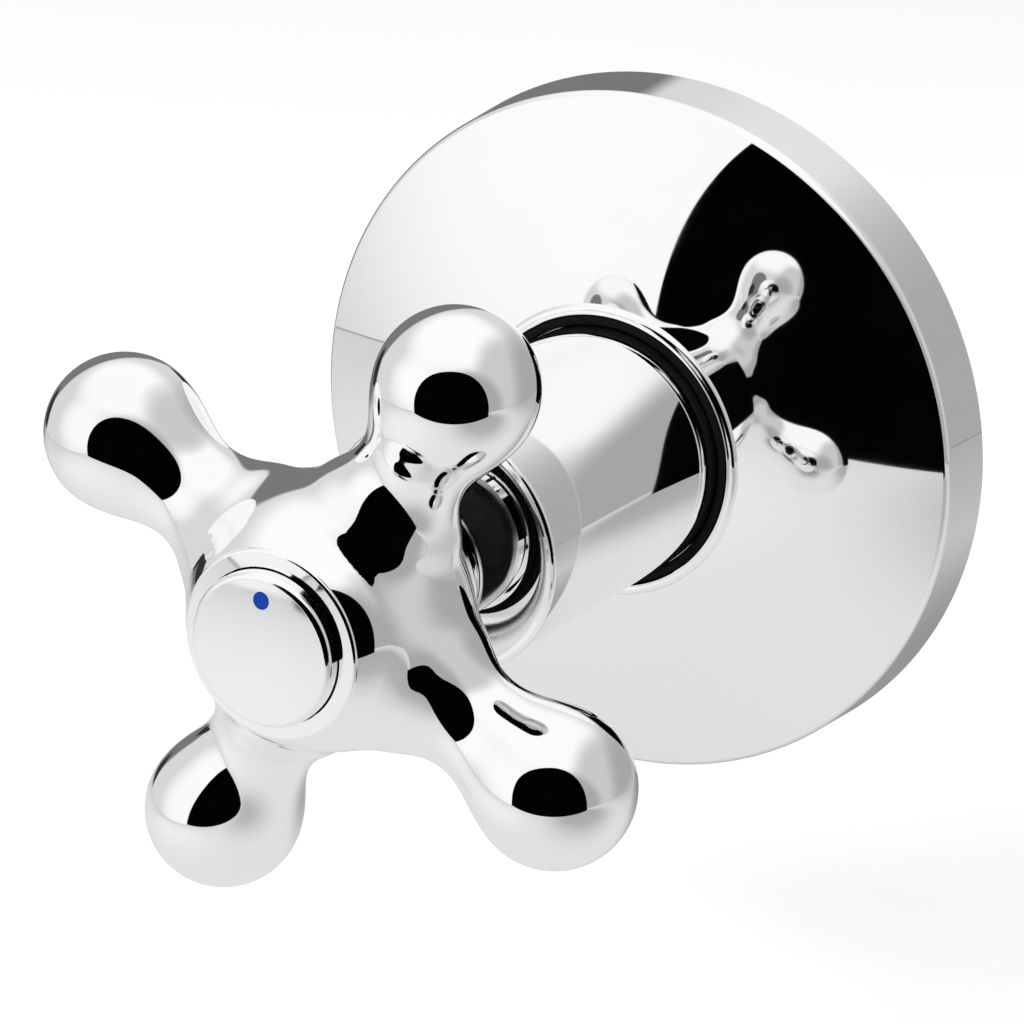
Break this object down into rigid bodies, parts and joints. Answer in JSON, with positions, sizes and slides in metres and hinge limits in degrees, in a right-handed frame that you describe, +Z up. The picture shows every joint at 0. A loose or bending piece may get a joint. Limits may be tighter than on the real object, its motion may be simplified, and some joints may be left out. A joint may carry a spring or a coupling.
{
  "type": "shower tap",
  "caption": "Wall-mounted chrome shower stop tap with a ball-ended cross handle, long sleeve, domed wall plate and quarter-turn ceramic headwork.",
  "frame": {"origin": "centre of the wall plate's back, on the finished wall's face and on the tap's axis", "axes": "+Z up, +Y into the wall along the tap's axis, so the tap stands out towards -Y, +X to the right as seen from the front"},
  "size_m": [0.075, 0.1089, 0.075],
  "materials": {
    "polished_chrome": "mirror polished",
    "cap_chrome": "mirror polished",
    "cold_blue": "gloss",
    "black_plastic": "satin",
    "foam_grey": "closed-cell foam",
    "black_rubber": "matte",
    "stainless": "bright",
    "white_plastic": "satin",
    "brass": "turned",
    "ceramic": "lapped ceramic"
  },
  "bodies": {
    "fixed": {"wall_plate": "polished_chrome", "wall_seal": "foam_grey", "plate_ring": "black_rubber", "sleeve": "polished_chrome", "glide_ring": "black_plastic", "headwork_housing": "brass", "slide_washer": "white_plastic", "fixed_disc": "ceramic", "seat_seal": "black_rubber", "shoulder_seal": "black_rubber"},
    "turning": {"cross_handle": "polished_chrome", "index_cap": "cap_chrome", "index_dot": "cold_blue", "cap_ring": "black_rubber", "handle_screw": "stainless", "handle_washer": "stainless", "spline_insert": "white_plastic", "spindle_extension": "brass", "extension_grub_screw": "stainless", "spindle": "brass", "spindle_clip": "stainless", "outer_spindle_ring": "black_rubber", "inner_spindle_ring": "black_rubber", "moving_disc": "ceramic"}
  },
  "joints": [
    {"name": "handle_turn", "type": "hinge", "parent": "fixed", "child": "turning", "pos_m": [0, 0, 0], "axis": [0, -1, 0], "range_deg": [0, 90]}
  ]
}
